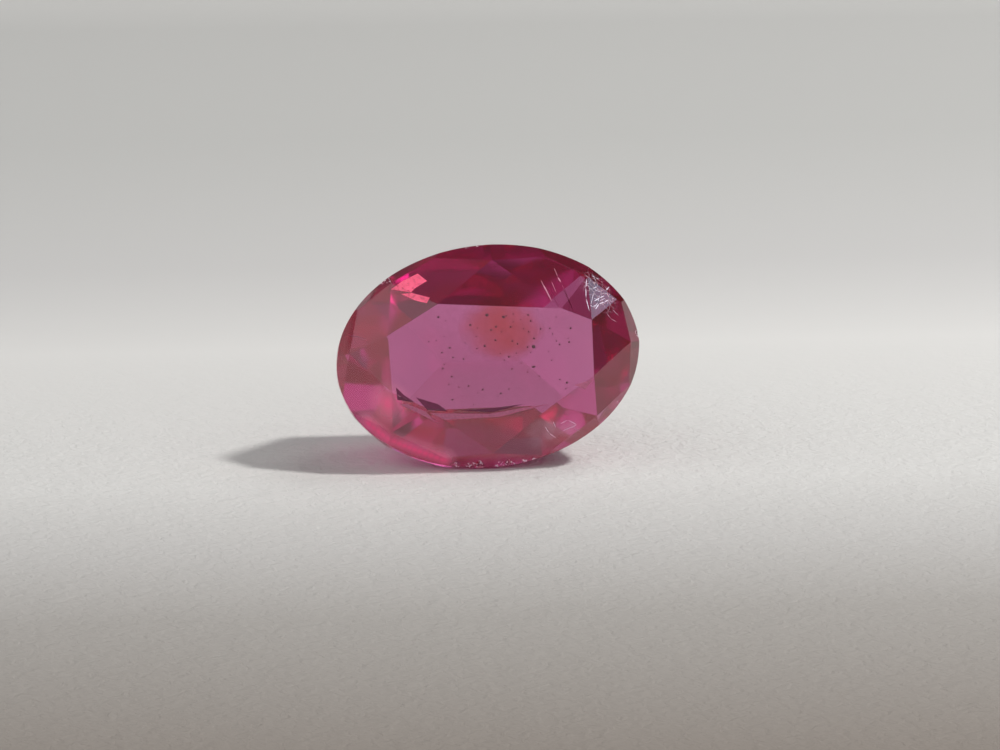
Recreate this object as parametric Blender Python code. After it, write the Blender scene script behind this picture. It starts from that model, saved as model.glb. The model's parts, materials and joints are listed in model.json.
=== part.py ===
"""A loose ruby, cut as a shallow-crowned oval and lying on one steep facet of its back.

The stone is ground the way a cutter does it: a bruted oval column is cut by one flat
plane for each facet, first on the pavilion (the back), then on the crown (the front),
and last the table. Small bites out of the girdle are the chips of a used stone.

Units are metres. The stone's own frame has the table towards +Z, its long side along X.
The placed stone rests on the floor z = 0, with its table facing -Y and a little upwards.
"""

import math

import bmesh
import bpy
from mathutils import Matrix, Vector

MM = 0.001

# Outline of the girdle, seen square on to the table
LENGTH = 8.0 * MM
WIDTH = 5.85 * MM
OUTLINE_TURN = math.radians(6.4)  # the outline is turned in its facets, as in a hand-cut stone
GIRDLE_STEPS = 128

# Crown, from the girdle's middle plane upwards. Each star facet stands on the table's edge
# between a corner and the next, and its tip points to the girdle.
CROWN_HEIGHT = 1.05 * MM
GIRDLE_DIP = -0.04 * MM  # lowest level that a break facet cuts the girdle down to
TABLE_CORNERS = [
    (2.65 * MM, -0.69 * MM),
    (2.64 * MM, 0.77 * MM),
    (1.86 * MM, 1.09 * MM),
    (-1.38 * MM, 1.27 * MM),
    (-2.71 * MM, 0.47 * MM),
    (-2.64 * MM, -1.03 * MM),
    (-1.65 * MM, -1.50 * MM),
    (1.54 * MM, -1.44 * MM),
]
STAR_TIPS = [
    (3.71 * MM, 0.23 * MM, 0.55 * MM),
    (2.63 * MM, 1.99 * MM, 0.47 * MM),
    (0.13 * MM, 2.47 * MM, 0.45 * MM),
    (-2.53 * MM, 1.92 * MM, 0.43 * MM),
    (-3.69 * MM, 0.05 * MM, 0.60 * MM),
    (-2.63 * MM, -2.01 * MM, 0.63 * MM),
    (0.00 * MM, -2.61 * MM, 0.41 * MM),
    (2.75 * MM, -1.70 * MM, 0.57 * MM),
]

# One kite was ground in two: the edge between its halves runs from the table to this point
SPLIT_KITE = 1
SPLIT_FOOT = (3.56 * MM, 1.50 * MM, 0.16 * MM)

# Pavilion, from the girdle's middle plane downwards: a steep belly and a shallow keel
GIRDLE_BASE = 0.14 * MM
BELLY_SLOPE = math.radians(72.0)
BELLY_DEPTH = 2.00 * MM
BELLY_FACETS = 16
KEEL_SLOPE = math.radians(28.0)
KEEL_FACETS = 4
REST_AZIMUTH = math.radians(-90.0)  # of the belly facet that lies on the floor

# The rough column that the facets are cut from
ROUGH_HALF_HEIGHT = 6.0 * MM
UNIT_RADIUS = 0.5  # of the round column, one unit wide, before it is scaled to the stone's length and width
TOUCH = 0.0001 * MM  # a corner this near a cutting plane lies on it
WELD = 0.001 * MM

# Chips in the girdle: azimuth, level and size of each bite
CHIPS = [
    (math.radians(-97.0), 0.20 * MM, 0.24 * MM),
    (math.radians(-93.5), 0.26 * MM, 0.18 * MM),
    (math.radians(-90.5), 0.16 * MM, 0.26 * MM),
    (math.radians(-85.5), 0.22 * MM, 0.20 * MM),
    (math.radians(-82.5), 0.15 * MM, 0.22 * MM),
    (math.radians(-78.5), 0.17 * MM, 0.16 * MM),
    (math.radians(8.0), 0.12 * MM, 0.15 * MM),
    (math.radians(-38.0), 0.12 * MM, 0.13 * MM),
    (math.radians(98.0), 0.08 * MM, 0.13 * MM),
    (math.radians(127.0), 0.09 * MM, 0.14 * MM),
]
CHIP_REACH = 0.75  # share of a bite's radius by which it cuts in from the outline
CHIP_TURNS = 7  # each ball is turned by this many times its azimuth, so that no two chips look alike
CHIP_ROUNDNESS = 1  # subdivisions of a ball

# The search for the outline's normal through a point: its steps, and how far each one goes
SEARCH_STEPS = 60
SEARCH_STRIDE = 0.5

RUBY_COLOUR = (0.52, 0.03, 0.12, 1.0)
RUBY_ROUGHNESS = 0.03
RUBY_IOR = 1.77


def clear_scene():
    """Removes everything that the file opens with."""
    for obj in list(bpy.data.objects):
        bpy.data.objects.remove(obj)


def outline_point(angle, level=0.0):
    """The point of the girdle's ellipse at this parameter angle, at a level along the stone's axis."""
    along = LENGTH / 2 * math.cos(angle)
    across = WIDTH / 2 * math.sin(angle)
    return Matrix.Rotation(OUTLINE_TURN, 3, "Z") @ Vector((along, across, level))


def outline_facing(azimuth, level=0.0):
    """The point of the outline whose outward normal has this azimuth."""
    turned = azimuth - OUTLINE_TURN
    return outline_point(math.atan2(WIDTH * math.sin(turned), LENGTH * math.cos(turned)), level)


def normal_azimuth_nearest(point):
    """The azimuth of the outline's normal that passes through this point inside it."""
    azimuth = math.atan2(point.y, point.x)
    for _ in range(SEARCH_STEPS):
        away = point - outline_facing(azimuth)
        sideways = Vector((-math.sin(azimuth), math.cos(azimuth)))
        azimuth += SEARCH_STRIDE * away.xy.dot(sideways) / (WIDTH / 2)
    return azimuth


def facing(azimuth, slope, up):
    """The outward normal of a facet: its azimuth round the axis, its slope from the girdle plane."""
    level = math.cos(slope) if up else -math.cos(slope)
    return Vector((math.cos(azimuth) * math.sin(slope), math.sin(azimuth) * math.sin(slope), level))


def outward_normal(a, b, c):
    """The normal of the plane through three points, pointing away from the stone's centre."""
    normal = (b - a).cross(c - a).normalized()
    return normal if normal.dot(a) > 0 else -normal


def rough_column():
    """The bruted oval column, as a bmesh."""
    stone = bmesh.new()
    bmesh.ops.create_cone(
        stone,
        cap_ends=True,
        segments=GIRDLE_STEPS,
        radius1=UNIT_RADIUS,
        radius2=UNIT_RADIUS,
        depth=2 * ROUGH_HALF_HEIGHT,
    )
    bmesh.ops.scale(stone, vec=(LENGTH, WIDTH, 1.0), verts=stone.verts)
    bmesh.ops.rotate(stone, matrix=Matrix.Rotation(OUTLINE_TURN, 3, "Z"), verts=stone.verts)
    return stone


def grind(stone, point, normal):
    """Cuts one flat facet: what lies beyond the plane goes, and the cut is closed."""
    cut = bmesh.ops.bisect_plane(
        stone,
        geom=stone.verts[:] + stone.edges[:] + stone.faces[:],
        dist=TOUCH,
        plane_co=point,
        plane_no=normal,
        clear_outer=True,
    )
    rim = [e for e in cut["geom_cut"] if isinstance(e, bmesh.types.BMEdge) and e.is_boundary]
    bmesh.ops.edgeloop_fill(stone, edges=rim)


def grind_pavilion(stone):
    """Cuts the steep belly, then the few shallow facets under it that meet in a keel."""
    for k in range(BELLY_FACETS):
        azimuth = REST_AZIMUTH + math.tau * k / BELLY_FACETS
        girdle = outline_facing(azimuth, -GIRDLE_BASE)
        grind(stone, girdle, facing(azimuth, BELLY_SLOPE, up=False))
    inset = BELLY_DEPTH / math.tan(BELLY_SLOPE)
    drop = Vector((0.0, 0.0, -BELLY_DEPTH))
    for k in range(KEEL_FACETS):
        azimuth = REST_AZIMUTH + math.tau * k / KEEL_FACETS
        outward = Vector((math.cos(azimuth), math.sin(azimuth), 0.0))
        belly_foot = outline_facing(azimuth, -GIRDLE_BASE) - outward * inset + drop
        grind(stone, belly_foot, facing(azimuth, KEEL_SLOPE, up=False))


def grind_crown(stone):
    """Cuts a kite at each corner of the table, the stars, the breaks along the girdle, and the table."""
    corners = [Vector((x, y, CROWN_HEIGHT)) for x, y in TABLE_CORNERS]
    star_tips = [Vector(tip) for tip in STAR_TIPS]
    for k, corner in enumerate(corners):
        before = star_tips[k - 1]
        star_tip = star_tips[k]
        kite = outward_normal(corner, before, star_tip)
        if k == SPLIT_KITE:
            foot = Vector(SPLIT_FOOT)
            grind(stone, corner, outward_normal(corner, before, foot))
            grind(stone, corner, outward_normal(corner, foot, star_tip))
        else:
            grind(stone, corner, kite)
        grind(stone, corner, outward_normal(corner, corners[(k + 1) % len(corners)], star_tip))
        kite_foot = outline_facing(math.atan2(kite.y, kite.x))
        for tip in (before, star_tip):
            azimuth = normal_azimuth_nearest((kite_foot + tip) / 2)
            outward = Vector((math.cos(azimuth), math.sin(azimuth), 0.0))
            lip = outline_facing(azimuth, GIRDLE_DIP)
            slope = math.atan2(tip.z - lip.z, (lip - tip).dot(outward))
            grind(stone, tip, facing(azimuth, slope, up=True))
    grind(stone, corners[0], Vector((0.0, 0.0, 1.0)))


def chip_cutter():
    """Low balls round the girdle's edge, joined in one mesh: what they take is a chip's hollow."""
    bites = bmesh.new()
    for azimuth, level, size in CHIPS:
        edge = outline_facing(azimuth, level)
        outward = Vector((math.cos(azimuth), math.sin(azimuth), 0.0))
        centre = edge + outward * size * (1.0 - CHIP_REACH)
        place = Matrix.Translation(centre) @ Matrix.Rotation(azimuth * CHIP_TURNS, 4, "X")
        bmesh.ops.create_icosphere(bites, subdivisions=CHIP_ROUNDNESS, radius=size, matrix=place)
    mesh = bpy.data.meshes.new("chip_bites")
    bites.to_mesh(mesh)
    bites.free()
    cutter = bpy.data.objects.new("chip_bites", mesh)
    cutter.hide_render = True
    cutter.display_type = "WIRE"
    return cutter


def ruby_material():
    """Polished corundum: clear, deep pinkish red."""
    material = bpy.data.materials.new("polished_ruby")
    material.use_nodes = True
    shader = material.node_tree.nodes["Principled BSDF"]
    shader.inputs["Base Color"].default_value = RUBY_COLOUR
    shader.inputs["Roughness"].default_value = RUBY_ROUGHNESS
    shader.inputs["Metallic"].default_value = 0.0
    shader.inputs["IOR"].default_value = RUBY_IOR
    shader.inputs["Transmission Weight"].default_value = 1.0
    return material


def resting_place(mesh):
    """The matrix that lays the stone on its rest facet, with its box's bottom centre at the origin."""
    turn = Matrix.Rotation(BELLY_SLOPE, 4, "X")
    corners = [turn @ v.co for v in mesh.vertices]
    low = Vector(min(c[i] for c in corners) for i in range(3))
    high = Vector(max(c[i] for c in corners) for i in range(3))
    middle = (low + high) / 2
    return Matrix.Translation((-middle.x, -middle.y, -low.z)) @ turn


def main():
    """Builds the stone, chips its girdle and lays it down."""
    clear_scene()
    part = bpy.data.collections.new("faceted_ruby")
    cutters = bpy.data.collections.new("cutters")
    for collection in (part, cutters):
        bpy.context.scene.collection.children.link(collection)

    stone = rough_column()
    grind_pavilion(stone)
    grind_crown(stone)
    bmesh.ops.remove_doubles(stone, verts=stone.verts, dist=WELD)
    bmesh.ops.recalc_face_normals(stone, faces=stone.faces)
    mesh = bpy.data.meshes.new("ruby")
    stone.to_mesh(mesh)
    stone.free()
    mesh.materials.append(ruby_material())

    ruby = bpy.data.objects.new("ruby", mesh)
    part.objects.link(ruby)
    ruby.matrix_world = resting_place(mesh)

    cutter = chip_cutter()
    cutters.objects.link(cutter)
    cutter.matrix_world = ruby.matrix_world
    chips = ruby.modifiers.new("chips", "BOOLEAN")
    chips.operation = "DIFFERENCE"
    chips.solver = "EXACT"
    chips.object = cutter


main()
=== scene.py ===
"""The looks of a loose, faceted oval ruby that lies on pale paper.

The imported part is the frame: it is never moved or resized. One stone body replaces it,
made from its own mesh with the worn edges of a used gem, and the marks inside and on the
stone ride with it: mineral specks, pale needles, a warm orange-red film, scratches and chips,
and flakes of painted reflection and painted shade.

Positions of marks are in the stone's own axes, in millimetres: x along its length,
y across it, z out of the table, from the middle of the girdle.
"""

import json
import logging
import math
import random
from dataclasses import dataclass, field
from enum import Enum
from typing import Iterable, Optional, Sequence

import bmesh
import bpy
from mathutils import Matrix, Vector
from mathutils.bvhtree import BVHTree


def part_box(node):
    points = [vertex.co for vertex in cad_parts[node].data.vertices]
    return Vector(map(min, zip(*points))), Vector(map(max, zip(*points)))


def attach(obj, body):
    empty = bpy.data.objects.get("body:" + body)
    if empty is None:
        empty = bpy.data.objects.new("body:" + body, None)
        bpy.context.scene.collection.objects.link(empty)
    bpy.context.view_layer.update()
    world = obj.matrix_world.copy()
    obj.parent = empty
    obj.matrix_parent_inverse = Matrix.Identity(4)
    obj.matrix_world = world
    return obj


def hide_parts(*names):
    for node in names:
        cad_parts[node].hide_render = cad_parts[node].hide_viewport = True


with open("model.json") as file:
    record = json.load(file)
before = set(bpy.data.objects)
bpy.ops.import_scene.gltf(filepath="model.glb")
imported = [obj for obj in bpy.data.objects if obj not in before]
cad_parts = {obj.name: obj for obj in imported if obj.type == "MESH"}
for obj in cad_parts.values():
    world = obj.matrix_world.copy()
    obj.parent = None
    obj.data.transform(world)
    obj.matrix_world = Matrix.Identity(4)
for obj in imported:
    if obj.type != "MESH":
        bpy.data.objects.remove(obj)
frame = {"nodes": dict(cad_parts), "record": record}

MM = 0.001
LOG = logging.getLogger("ruby")

# Where the table and its mount's point lie on the stone, in mm
TABLE_HEIGHT = 1.05  # from the girdle's middle to the table
TABLE_MOUNT_OFFSET = 0.1  # from the stone's axis to the mount's point

Point = tuple[float, float]
Point3 = tuple[float, float, float]
Spot = tuple[Point3, float]
Colour = tuple[float, float, float, float]
Level = tuple[float, float]
Tree = bpy.types.NodeTree
Socket = bpy.types.NodeSocket


class Slot(Enum):
    """The record's material slots."""

    RUBY = "polished_ruby"


class WearAndShade(Enum):
    """Names of the face attributes that say how a patch of the stone looks."""

    FROST = "frost"
    # How much painted shade, a deeper red, a crown facet carries.
    PAINTED_SHADE = "painted_shade"


def to_linear(hex_colour: str) -> Colour:
    """Turns an sRGB hex colour into linear RGBA.

    Args:
        hex_colour: Six hexadecimal digits.

    Returns:
        The linear colour with an alpha of 1.
    """
    channels = [int(hex_colour[i : i + 2], 16) / 255 for i in (0, 2, 4)]
    linear = [c / 12.92 if c <= 0.04045 else ((c + 0.055) / 1.055) ** 2.4 for c in channels]
    return (linear[0], linear[1], linear[2], 1.0)


def add_node(tree: Tree, kind: str, links: Optional[dict] = None, **settings) -> bpy.types.Node:
    """Adds a node with its settings and links.

    Args:
        tree: The tree to add to.
        kind: The node's type name.
        links: Input name or number to an output socket, or to a plain value.
        **settings: Attributes of the node.

    Returns:
        The new node.
    """
    node = tree.nodes.new(kind)
    for name, value in settings.items():
        setattr(node, name, value)
    for name, value in (links or {}).items():
        if isinstance(value, Socket):
            tree.links.new(value, node.inputs[name])
        else:
            node.inputs[name].default_value = value
    return node


def new_material(name: str) -> tuple[bpy.types.Material, bpy.types.Node]:
    """Makes a node material and returns it with its Principled shader."""
    material = bpy.data.materials.new(name)
    material.use_nodes = True
    return material, material.node_tree.nodes["Principled BSDF"]


def ramp(tree: Tree, source: Socket, stops: Sequence[tuple[float, Colour]]) -> Socket:
    """Adds a colour ramp.

    Args:
        tree: The tree to add to.
        source: The socket that drives the ramp.
        stops: Position and colour of each stop, in order.

    Returns:
        The ramp's colour socket.
    """
    node = add_node(tree, "ShaderNodeValToRGB", {0: source})
    halfway = 0.5
    while len(node.color_ramp.elements) < len(stops):
        node.color_ramp.elements.new(halfway)
    for element, (position, colour) in zip(node.color_ramp.elements, stops):
        element.position = position
        element.color = colour
    return node.outputs["Color"]


def map_range(tree: Tree, source: Socket, start: Level, end: Level) -> Socket:
    """Adds a node that maps one range of values to another.

    Args:
        tree: The tree to add to.
        source: The value to map.
        start: A value and what it becomes.
        end: Another value and what it becomes; between the two it is linear, beyond them it stays.

    Returns:
        The mapped value.
    """
    node = add_node(tree, "ShaderNodeMapRange", {0: source, 1: start[0], 2: end[0], 3: start[1], 4: end[1]})
    return node.outputs[0]


def maths(tree: Tree, operation: str, first: object, second: object, clamp: bool = True) -> Socket:
    """Adds a math node on two sockets or numbers and returns its result, kept within 0 and 1 if clamped."""
    node = add_node(tree, "ShaderNodeMath", {0: first, 1: second}, operation=operation, use_clamp=clamp)
    return node.outputs[0]


def vector_maths(tree: Tree, operation: str, first: Socket, second: object, output: object = 0) -> Socket:
    """Adds a vector math node on two vectors and returns one of its results."""
    node = add_node(tree, "ShaderNodeVectorMath", {0: first, 1: second}, operation=operation)
    return node.outputs[output]


def scaled(tree: Tree, vector: Socket, scale: object) -> Socket:
    """Adds a node that scales a vector and returns its result."""
    return add_node(tree, "ShaderNodeVectorMath", {0: vector, "Scale": scale}, operation="SCALE").outputs[0]


def mix(tree: Tree, share: Socket, first: object, second: object) -> Socket:
    """Adds a node that mixes two numbers and returns its result."""
    return add_node(tree, "ShaderNodeMix", {0: share, 2: first, 3: second}, data_type="FLOAT").outputs[0]


def mix_colours(tree: Tree, share: Socket, first: object, second: object) -> Socket:
    """Adds a node that mixes two colours and returns its result."""
    return add_node(tree, "ShaderNodeMix", {0: share, 6: first, 7: second}, data_type="RGBA").outputs[2]


def attribute(tree: Tree, wear: WearAndShade) -> Socket:
    """Adds a node that reads one of the stone's face attributes and returns its value."""
    return add_node(tree, "ShaderNodeAttribute", attribute_name=wear.value).outputs["Fac"]


def object_place(tree: Tree) -> Socket:
    """Adds the object coordinates, which are the row frame's metres."""
    return add_node(tree, "ShaderNodeTexCoord").outputs["Object"]


def grey(value: float) -> Colour:
    """A linear grey."""
    return (value, value, value, 1.0)


@dataclass(frozen=True)
class Grain:
    """A noise and the values that its low and high levels stand for.

    Attributes:
        per_mm: How many of its lumps lie in a millimetre.
        detail: How many finer layers it has.
        start: A level of the noise and the value there.
        end: A higher level of the noise and the value there.
    """

    per_mm: float
    detail: float
    start: Level = (0.3, 0.0)
    end: Level = (0.7, 1.0)

    def raw(self, tree: Tree, place: Socket, **inputs: float) -> Socket:
        """Adds the noise alone and returns its level."""
        links = {"Vector": place, "Scale": self.per_mm / MM, "Detail": self.detail, **inputs}
        return add_node(tree, "ShaderNodeTexNoise", links).outputs[0]

    def build(self, tree: Tree, place: Socket) -> Socket:
        """Adds the noise and returns the value that its level stands for."""
        return map_range(tree, self.raw(tree, place), self.start, self.end)


@dataclass(frozen=True)
class GemAxes:
    """The stone's own axes in the row frame.

    Attributes:
        matrix: Turns a point in the stone's millimetres into the row frame's metres.
    """

    matrix: Matrix

    @classmethod
    def from_record(cls, record: dict) -> "GemAxes":
        """Finds the axes from the record's table mount.

        Args:
            record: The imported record.

        Returns:
            The stone's axes.
        """
        table = next(m for m in record["mounts"] if m["name"] == "table")
        z_axis = Vector(table["axis"]).normalized()
        x_axis = Vector((1.0, 0.0, 0.0))
        y_axis = z_axis.cross(x_axis)
        origin = Vector(table["pos_m"]) - z_axis * TABLE_HEIGHT * MM + y_axis * TABLE_MOUNT_OFFSET * MM
        turn = Matrix((x_axis, y_axis, z_axis)).transposed().to_4x4()
        return cls(Matrix.Translation(origin) @ turn @ Matrix.Scale(MM, 4))

    def world(self, point: Iterable[float]) -> Vector:
        """A point of the stone, in the row frame."""
        return self.matrix @ Vector(point)

    def direction(self, vector: Iterable[float]) -> Vector:
        """A unit direction of the stone, in the row frame."""
        return (self.matrix.to_3x3() @ Vector(vector)).normalized()


def patch(tree: Tree, place: Socket, axes: GemAxes, spots: Sequence[Spot], gain: float = 1.0) -> Socket:
    """Adds a soft mask around some spots of the stone.

    Args:
        tree: The tree to add to.
        place: The object coordinates.
        axes: The stone's axes.
        spots: Each spot's centre and reach, in mm.
        gain: What the mask is multiplied by; above 1 it is full further out and has a firmer edge.

    Returns:
        A value of 1 at each centre that falls to 0 at its reach.
    """
    total = None
    for centre, reach in spots:
        away = vector_maths(tree, "DISTANCE", place, axes.world(centre)[:], "Value")
        near = map_range(tree, away, (0.0, 1.0), (reach * MM, 0.0))
        total = near if total is None else maths(tree, "MAXIMUM", total, near)
    return maths(tree, "MULTIPLY", total, gain)


@dataclass(frozen=True)
class RubyFinish:
    """Polished corundum that has been worn: clear deep pink-red, with a soft haze on its facets.

    Attributes:
        body_tint: What a facet lets through.
        painted_shade_tint: The same where crown facets carry painted shade, a deeper red.
        cloud_and_light_tint: Colour of the cloudy rim, a bright pink red that is painted light.
        absorption_colour: What the depth of the stone lets through.
        absorption_density: How soon the depth takes the rest, per metre.
        ior: Corundum's index.
        haze: Share of light that a worn facet scatters.
        cloud_and_light_clearness: Share of light that still passes the cloudy, painted-light rim.
        frost_clearness: Share of light that still passes a broken spot.
        frost_colour: Colour of a broken spot.
        scratched: Spots with a web of scratches.
        scuffed: Spots that are smeared grey.
        chipped: Spots along the girdle's edge that have crumbled.
        cloud_and_light_rim: Points along the cloudy rim that carries painted light, in mm.
        cloud_and_light_steps: Spots from one of these points to the next.
        cloud_and_light_reach: Reach of each of these spots, in mm.
        cloud_and_light_patches: Cloudy spots above the rim that also carry painted light.
        cloud_and_light_start: Where the cloud and its painted light start: its mask's level and its
            strength.
        cloud_and_light_full: Where the cloud and its painted light are full.
        dullness: Patches of duller polish, as roughness: about one a millimetre.
        frost_grain: Roughness of a broken spot.
        crumbs: Crumbled grain of the chips.
        smears: Uneven grey of the scuffs.
        bends: The noise that bends scratches and the scuffs' outline.
        bend_reach: How far it bends them, in mm.
        scratches_per_mm: How many scratches cross a millimetre.
        scratch_start: The middle of a scratch: the distance from it and its strength.
        scratch_end: The edge of a scratch.
        swell: Faint unevenness of the facets.
        swell_strength: How strongly it tilts what they mirror.
        swell_height: Its height, in mm.
        painted_glow: Colour of the painted glow, an emission for the chromium's red glow.
        painted_glow_strength: Its strength.
    """

    body_tint: Colour = (0.56, 0.325, 0.49, 1.0)
    painted_shade_tint: Colour = (0.12, 0.012, 0.035, 1.0)
    cloud_and_light_tint: Colour = (1.0, 0.12, 0.33, 1.0)
    absorption_colour: Colour = (0.94, 0.17, 0.66, 1.0)
    absorption_density: float = 300.0
    ior: float = 1.766
    haze: float = 0.05
    cloud_and_light_clearness: float = 0.28
    frost_clearness: float = 0.2
    frost_colour: Colour = to_linear("efe4f0")
    scratched: Sequence[Spot] = (((2.86, 1.72, 0.42), 0.55), ((3.05, 1.35, 0.52), 0.45))
    scuffed: Sequence[Spot] = (((1.5, -2.05, 0.55), 0.6), ((2.1, -1.95, 0.5), 0.45))
    chipped: Sequence[Spot] = (
        ((-0.55, -2.87, 0.04), 0.16),
        ((-0.3, -2.9, 0.02), 0.14),
        ((0.2, -2.88, 0.02), 0.16),
        ((0.5, -2.86, -0.02), 0.14),
        ((0.85, -2.8, -0.02), 0.12),
        ((1.14, -2.76, -0.02), 0.1),
    )
    cloud_and_light_rim: Sequence[Point3] = (
        (-3.2, -1.74, 0.18),
        (-2.55, -2.2, 0.3),
        (-1.9, -2.5, 0.24),
        (-1.15, -2.75, 0.16),
    )
    cloud_and_light_steps: int = 5
    cloud_and_light_reach: float = 0.46
    cloud_and_light_patches: Sequence[Spot] = (((-2.75, -1.3, 0.85), 0.7),)
    cloud_and_light_start: Level = (0.05, 0.0)
    cloud_and_light_full: Level = (0.9, 1.0)
    dullness: Grain = Grain(1.1, 3.0, (0.35, 0.03), (0.7, 0.11))
    frost_grain: Grain = Grain(9.0, 4.0, (0.3, 0.35), (0.7, 0.6))
    crumbs: Grain = Grain(16.0, 3.0, (0.52, 0.0), (0.62, 1.0))
    smears: Grain = Grain(2.6, 4.0, (0.38, 0.08), (0.62, 0.34))
    bends_per_mm: float = 4.0
    bend_reach: float = 0.25
    scratches_per_mm: float = 6.0
    scratch_start: Level = (0.015, 0.5)
    scratch_end: Level = (0.08, 0.0)
    swell: Grain = Grain(0.7, 2.0)
    swell_strength: float = 0.35
    swell_height: float = 0.012
    painted_glow: Colour = (1.0, 0.0, 0.07, 1.0)
    painted_glow_strength: float = 0.018

    def cloud_and_light_spots(self) -> list[Spot]:
        """Lists what is cloudy and painted as a pool of light.

        Returns:
            The cloudy, painted-light patches, and spots close to each other along the cloudy rim.
        """
        spots = list(self.cloud_and_light_patches)
        for first, last in zip(self.cloud_and_light_rim, self.cloud_and_light_rim[1:]):
            for step in range(self.cloud_and_light_steps):
                centre = Vector(first).lerp(Vector(last), step / self.cloud_and_light_steps)
                spots.append((centre[:], self.cloud_and_light_reach))
        return spots

    def bent(self, tree: Tree, place: Socket) -> Socket:
        """Bends the coordinates, so that straight patterns run unevenly.

        Args:
            tree: The tree to add to.
            place: The object coordinates.

        Returns:
            The bent coordinates.
        """
        bends = add_node(tree, "ShaderNodeTexNoise", {"Vector": place, "Scale": self.bends_per_mm / MM})
        shift = scaled(tree, bends.outputs["Color"], self.bend_reach * MM)
        return vector_maths(tree, "ADD", place, shift)

    def worn_mask(self, tree: Tree, place: Socket, axes: GemAxes) -> Socket:
        """Says where the surface is broken: chips, a web of scratches and scuffs.

        Args:
            tree: The tree to add to.
            place: The object coordinates.
            axes: The stone's axes.

        Returns:
            A value that is 1 where the surface is white and dull.
        """
        firm = 3.0
        soft = 2.0
        crumbs = self.crumbs.build(tree, place)
        chips = maths(tree, "MULTIPLY", attribute(tree, WearAndShade.FROST), crumbs)
        edge = maths(tree, "MULTIPLY", crumbs, patch(tree, place, axes, self.chipped, firm))
        bent = self.bent(tree, place)
        cells = add_node(
            tree,
            "ShaderNodeTexVoronoi",
            {"Vector": bent, "Scale": self.scratches_per_mm / MM},
            feature="DISTANCE_TO_EDGE",
        )
        web = map_range(tree, cells.outputs["Distance"], self.scratch_start, self.scratch_end)
        scratches = maths(tree, "MULTIPLY", web, patch(tree, place, axes, self.scratched, firm))
        smears = self.smears.build(tree, place)
        scuffs = maths(tree, "MULTIPLY", smears, patch(tree, bent, axes, self.scuffed, soft))
        worn = maths(tree, "MAXIMUM", chips, edge)
        return maths(tree, "MAXIMUM", worn, maths(tree, "MAXIMUM", scratches, scuffs))

    def build(self, axes: GemAxes) -> bpy.types.Material:
        """Builds the material.

        Args:
            axes: The stone's axes.

        Returns:
            A see-through material that gives the deep red where the path of light through the stone is
            long and the purple pink where it is short, with white wear on chips and scratches, painted
            shade on some crown facets, painted light on the lower left rim and a painted glow.
        """
        material, shader = new_material("worn_ruby_with_painted_light")
        tree = material.node_tree
        place = object_place(tree)
        frost = self.worn_mask(tree, place, axes)
        rim = patch(tree, place, axes, self.cloud_and_light_spots())
        cloud_and_light = map_range(tree, rim, self.cloud_and_light_start, self.cloud_and_light_full)

        # Hand polish leaves some patches duller.
        rough = mix(tree, frost, self.dullness.build(tree, place), self.frost_grain.build(tree, place))
        tree.links.new(rough, shader.inputs["Roughness"])

        # Painted shade: crown facets at one end and over the table's top are tinted a deeper red, a painted
        # darkening of the crown.
        tint = mix_colours(tree, attribute(tree, WearAndShade.PAINTED_SHADE), self.body_tint, self.painted_shade_tint)
        # The lower left rim and a patch above it are cloudy, and painted a bright pink red as a pool of
        # light.
        tint = mix_colours(tree, cloud_and_light, tint, self.cloud_and_light_tint)
        tint = mix_colours(tree, frost, tint, self.frost_colour)
        tree.links.new(tint, shader.inputs["Base Color"])
        clear = map_range(tree, cloud_and_light, (0.0, 1.0 - self.haze), (1.0, self.cloud_and_light_clearness))
        clear = mix(tree, frost, clear, self.frost_clearness)
        tree.links.new(clear, shader.inputs["Transmission Weight"])

        # A faint unevenness of the facets softens what they mirror.
        swell = self.swell.raw(tree, place)
        height = {"Height": swell, "Strength": self.swell_strength, "Distance": self.swell_height * MM}
        bump = add_node(tree, "ShaderNodeBump", height)
        tree.links.new(bump.outputs[0], shader.inputs["Normal"])

        shader.inputs["IOR"].default_value = self.ior
        # Painted glow: a faint red emission that shines without any lamp, standing in for the red glow that
        # chromium gives a ruby in daylight, most where light bounces often.
        shader.inputs["Emission Color"].default_value = self.painted_glow
        shader.inputs["Emission Strength"].default_value = self.painted_glow_strength
        depth = {"Color": self.absorption_colour, "Density": self.absorption_density}
        volume = add_node(tree, "ShaderNodeVolumeAbsorption", depth)
        tree.links.new(volume.outputs[0], tree.nodes["Material Output"].inputs["Volume"])
        return material


@dataclass(frozen=True)
class PlainFinish:
    """An opaque finish of one colour, broken up a little by noise.

    Attributes:
        name: The material's name.
        colour: The sRGB hex colour.
        roughness: How dull it is.
        variation: How far the noise lightens and darkens it.
        per_mm: How many of the noise's lumps lie in a millimetre.
    """

    name: str
    colour: str
    roughness: float
    variation: float = 0.2
    per_mm: float = 20.0

    def build(self) -> bpy.types.Material:
        """Builds the material.

        Returns:
            A material whose colour gives the eye a little unevenness and no pattern.
        """
        material, shader = new_material(self.name)
        tree = material.node_tree
        grain = Grain(self.per_mm, 3.0, (0.3, 1.0 - self.variation), (0.7, 1.0 + self.variation))
        light = grain.build(tree, object_place(tree))
        colour = add_node(tree, "ShaderNodeHueSaturation", {"Value": light, "Color": to_linear(self.colour)})
        tree.links.new(colour.outputs[0], shader.inputs["Base Color"])
        shader.inputs["Roughness"].default_value = self.roughness
        return material


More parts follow.
